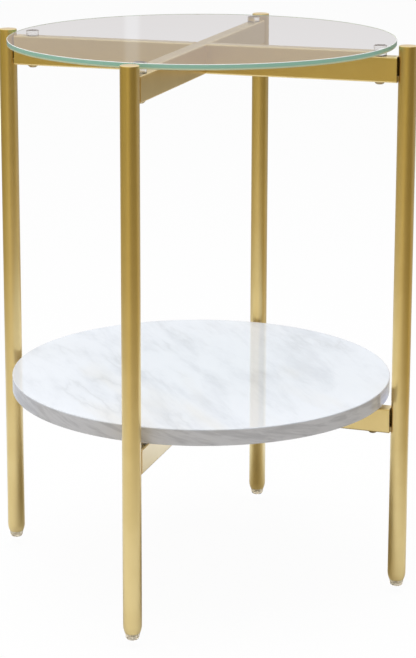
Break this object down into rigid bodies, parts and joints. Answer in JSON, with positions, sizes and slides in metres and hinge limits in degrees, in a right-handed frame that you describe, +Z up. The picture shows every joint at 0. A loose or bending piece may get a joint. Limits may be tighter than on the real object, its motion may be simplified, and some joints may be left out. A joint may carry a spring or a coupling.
{
  "type": "tiered side table",
  "caption": "Round side table with a clear glass top and a white marble-look shelf, each on a cross of gold tubes between upright round legs with levelling feet.",
  "frame": {"origin": "on the floor, under the centre of the glass", "axes": "+Z up, +X to the right-hand leg, -Y to the front leg"},
  "size_m": [0.4828, 0.4828, 0.61],
  "materials": {
    "glass": "clear float glass with a ground, greenish edge",
    "marble": "polished white with soft grey veins",
    "gold": "satin gold finish on steel",
    "clear_plastic": "clear soft plastic",
    "steel": "zinc plated"
  },
  "bodies": {
    "stand": {"marble_shelf": "marble", "upper_bar_long": "gold", "upper_bar_half_left": "gold", "upper_bar_half_right": "gold", "lower_bar_long": "gold", "lower_bar_half_left": "gold", "lower_bar_half_right": "gold", "leg_tube_left": "gold", "leg_tube_front": "gold", "leg_tube_right": "gold", "leg_tube_back": "gold", "leg_cap_left": "gold", "leg_cap_front": "gold", "leg_cap_right": "gold", "leg_cap_back": "gold", "upper_tongue_left": "gold", "upper_tongue_front": "gold", "upper_tongue_right": "gold", "upper_tongue_back": "gold", "lower_tongue_left": "gold", "lower_tongue_front": "gold", "lower_tongue_right": "gold", "lower_tongue_back": "gold", "upper_screw_left": "gold", "upper_screw_front": "gold", "upper_screw_right": "gold", "upper_screw_back": "gold", "lower_screw_left": "gold", "lower_screw_front": "gold", "lower_screw_right": "gold", "lower_screw_back": "gold", "glass_pad_left": "clear_plastic", "glass_pad_front": "clear_plastic", "glass_pad_right": "clear_plastic", "glass_pad_back": "clear_plastic", "shelf_pad_left": "clear_plastic", "shelf_pad_front": "clear_plastic", "shelf_pad_right": "clear_plastic", "shelf_pad_back": "clear_plastic", "foot_bush_left": "steel", "foot_bush_front": "steel", "foot_bush_right": "steel", "foot_bush_back": "steel"},
    "glass": {"glass_top": "glass"},
    "foot_left": {"foot_glide_left": "clear_plastic", "foot_stud_left": "steel"},
    "foot_front": {"foot_glide_front": "clear_plastic", "foot_stud_front": "steel"},
    "foot_right": {"foot_glide_right": "clear_plastic", "foot_stud_right": "steel"},
    "foot_back": {"foot_glide_back": "clear_plastic", "foot_stud_back": "steel"}
  },
  "joints": [
    {"name": "glass_lift", "type": "slide", "parent": "stand", "child": "glass", "axis": [0, 0, 1], "range_m": [0, 0.04]},
    {"name": "foot_left_level", "type": "slide", "parent": "stand", "child": "foot_left", "axis": [0, 0, -1], "range_m": [0, 0.008]},
    {"name": "foot_front_level", "type": "slide", "parent": "stand", "child": "foot_front", "axis": [0, 0, -1], "range_m": [0, 0.008]},
    {"name": "foot_right_level", "type": "slide", "parent": "stand", "child": "foot_right", "axis": [0, 0, -1], "range_m": [0, 0.008]},
    {"name": "foot_back_level", "type": "slide", "parent": "stand", "child": "foot_back", "axis": [0, 0, -1], "range_m": [0, 0.008]}
  ]
}
